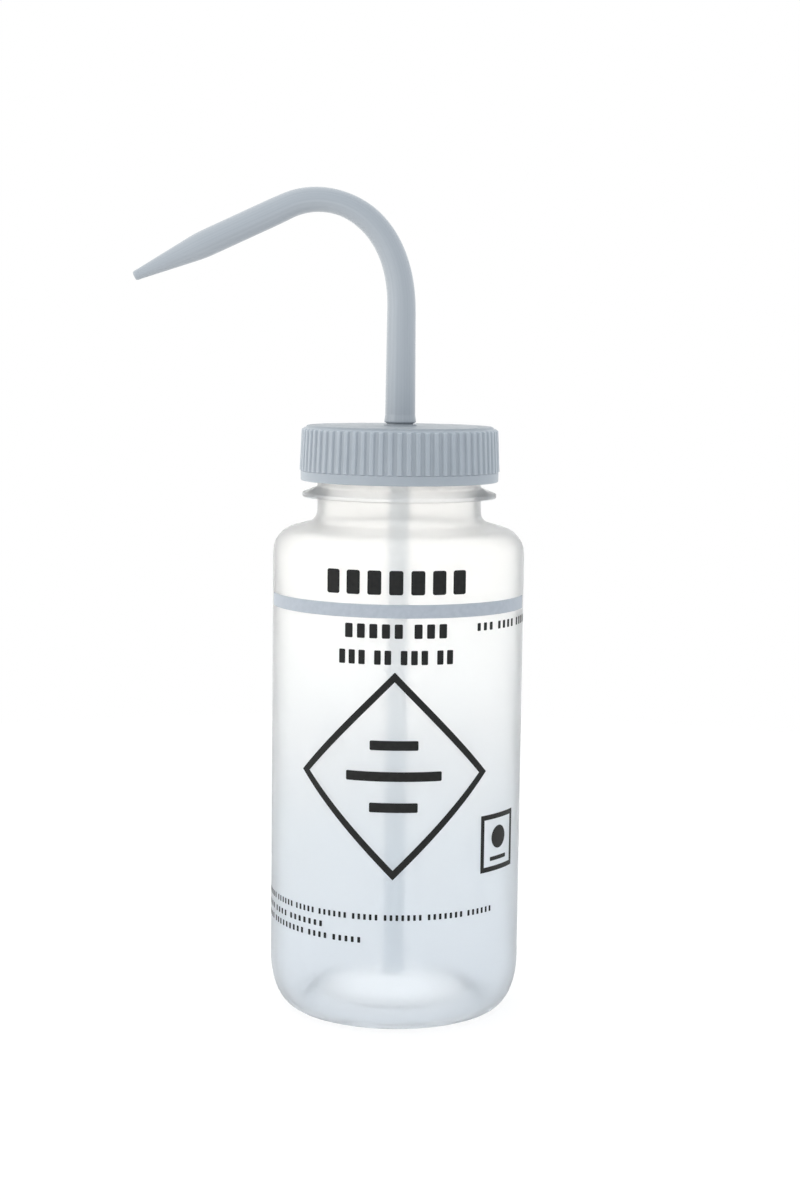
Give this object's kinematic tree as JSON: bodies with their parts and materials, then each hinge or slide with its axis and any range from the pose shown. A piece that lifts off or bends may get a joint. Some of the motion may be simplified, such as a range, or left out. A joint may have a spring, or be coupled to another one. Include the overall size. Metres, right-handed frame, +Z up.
{
  "type": "wash bottle",
  "caption": "Wide-mouth squeeze bottle with a ribbed screw cap, a bent spout that tapers to a jet, and a dip tube that draws liquid from the bottom.",
  "frame": {"origin": "centre of the bounding box's foot, on the surface that the bottle stands on; the bottle's own axis stands at x = +20.96 mm, because the spout overhangs towards -X", "axes": "+Z up along the bottle's axis, -X the way the spout points, -Y the printed front"},
  "size_m": [0.1168, 0.075, 0.2443],
  "materials": {
    "natural_polyethylene": "translucent, satin, frosted natural polyethylene",
    "grey_polypropylene": "opaque, satin, blue-grey moulded polypropylene",
    "white_foam": "matt white polyethylene foam",
    "grey_polyethylene": "slightly translucent, satin, blue-grey polyethylene",
    "pale_tube": "translucent, smooth, pale grey polyethylene"
  },
  "bodies": {
    "bottle": {"bottle": "natural_polyethylene"},
    "liner": {"cap_liner": "white_foam"},
    "cap": {"cap": "grey_polypropylene"},
    "spout": {"spout": "grey_polyethylene", "dip_tube": "pale_tube"}
  },
  "joints": [
    {"name": "closure_lift", "type": "slide", "parent": "bottle", "child": "liner", "axis": [0, 0, 1], "range_m": [0, 0.00562]},
    {"name": "cap_turn", "type": "hinge", "parent": "liner", "child": "cap", "pos_m": [0.02096, 0, 0.166], "axis": [0, 0, 1], "range_deg": [0, 450]},
    {"name": "spout_swivel", "type": "hinge", "parent": "cap", "child": "spout", "pos_m": [0.02096, 0, 0.1745], "axis": [0, 0, 1], "continuous": true}
  ],
  "couplings": [
    {"joint": "closure_lift", "follows": "cap_turn", "m_per_rad": 0.0007162}
  ]
}
